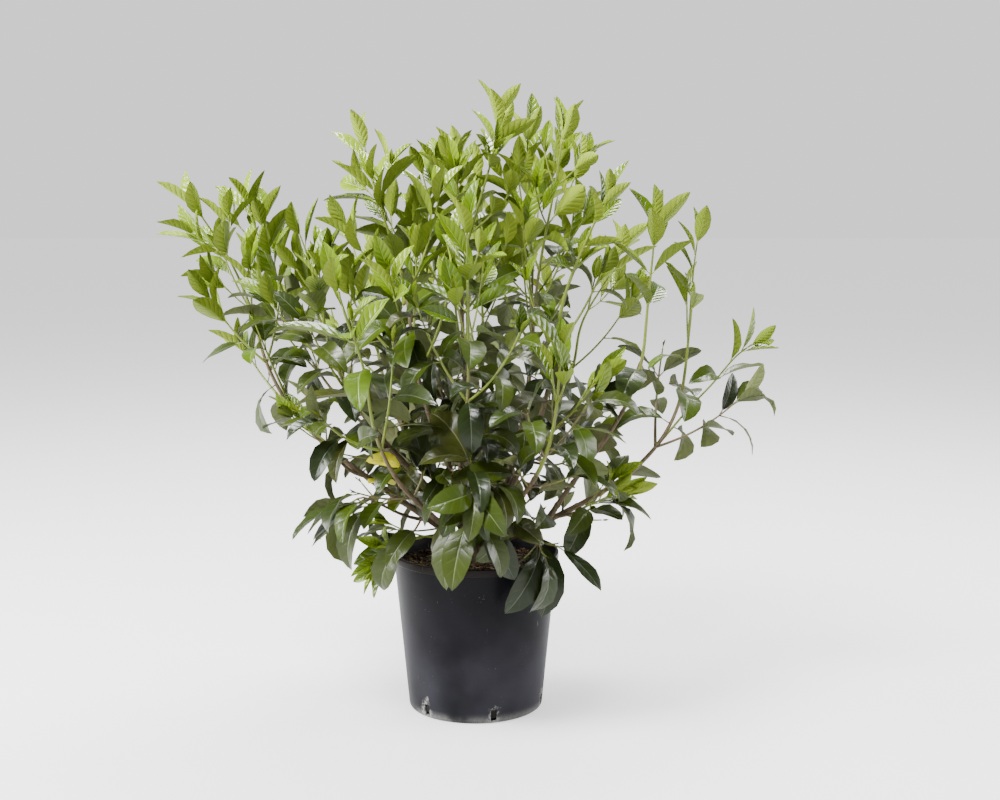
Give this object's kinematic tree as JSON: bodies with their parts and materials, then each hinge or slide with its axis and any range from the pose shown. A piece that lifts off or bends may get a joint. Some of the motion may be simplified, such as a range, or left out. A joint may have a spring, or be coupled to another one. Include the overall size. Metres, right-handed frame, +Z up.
{
  "type": "potted laurustinus",
  "caption": "Young evergreen shrub with many stems, opposite glossy leaves and yellow-green new shoots, in a round tapered plastic nursery pot.",
  "frame": {"origin": "middle of the pot's flat underside", "axes": "+Z up along the pot's axis, -Y towards the side that the picture shows, +X to its right"},
  "size_m": [0.9017, 0.7153, 0.9118],
  "materials": {
    "pot_plastic": "satin",
    "compost": "rough, crumbly",
    "bark": "rough, finely ridged",
    "young_bark": "smooth, matt",
    "foliage": "glossy, leathery"
  },
  "bodies": {
    "root": {"back_crown_bough": "young_bark", "back_crown_spray": "foliage", "back_left_spray": "foliage", "back_left_stem": "bark", "back_low_left_bough": "young_bark", "back_low_left_spray": "foliage", "back_low_right_bough": "young_bark", "back_low_right_spray": "foliage", "back_right_spray": "foliage", "back_right_stem": "bark", "back_spray": "foliage", "back_stem": "bark", "centre_left_stem": "bark", "centre_right_stem": "bark", "centre_stem": "bark", "crown_left_bough": "young_bark", "crown_left_spray": "foliage", "far_left_spray": "foliage", "far_left_stem": "bark", "far_right_bough": "young_bark", "far_right_low_spray": "foliage", "far_right_spray": "foliage", "far_right_stem": "bark", "front_crown_spray": "foliage", "front_left_spray": "foliage", "front_left_stem": "bark", "front_low_bough": "young_bark", "front_low_spray": "foliage", "front_right_spray": "foliage", "front_right_stem": "bark", "front_stem": "bark", "left_crown_spray": "foliage", "left_shoulder_spray": "foliage", "left_spray": "foliage", "left_stem": "bark", "left_upper_bough": "young_bark", "low_left_bough": "young_bark", "low_left_spray": "foliage", "lower_left_bough": "young_bark", "lower_left_spray": "foliage", "pot": "pot_plastic", "potting_compost": "compost", "right_crown_spray": "foliage", "right_inner_stem": "bark", "right_low_bough": "young_bark", "right_low_spray": "foliage", "right_middle_bough": "young_bark", "right_middle_spray": "foliage", "right_spray": "foliage", "right_stem": "bark", "rim_left_bough": "young_bark", "rim_left_spray": "foliage", "rim_right_bough": "young_bark", "rim_right_spray": "foliage", "root_crown": "bark", "top_back_bough": "young_bark", "top_back_spray": "foliage", "top_right_spray": "foliage", "top_spray": "foliage"}
  },
  "joints": []
}
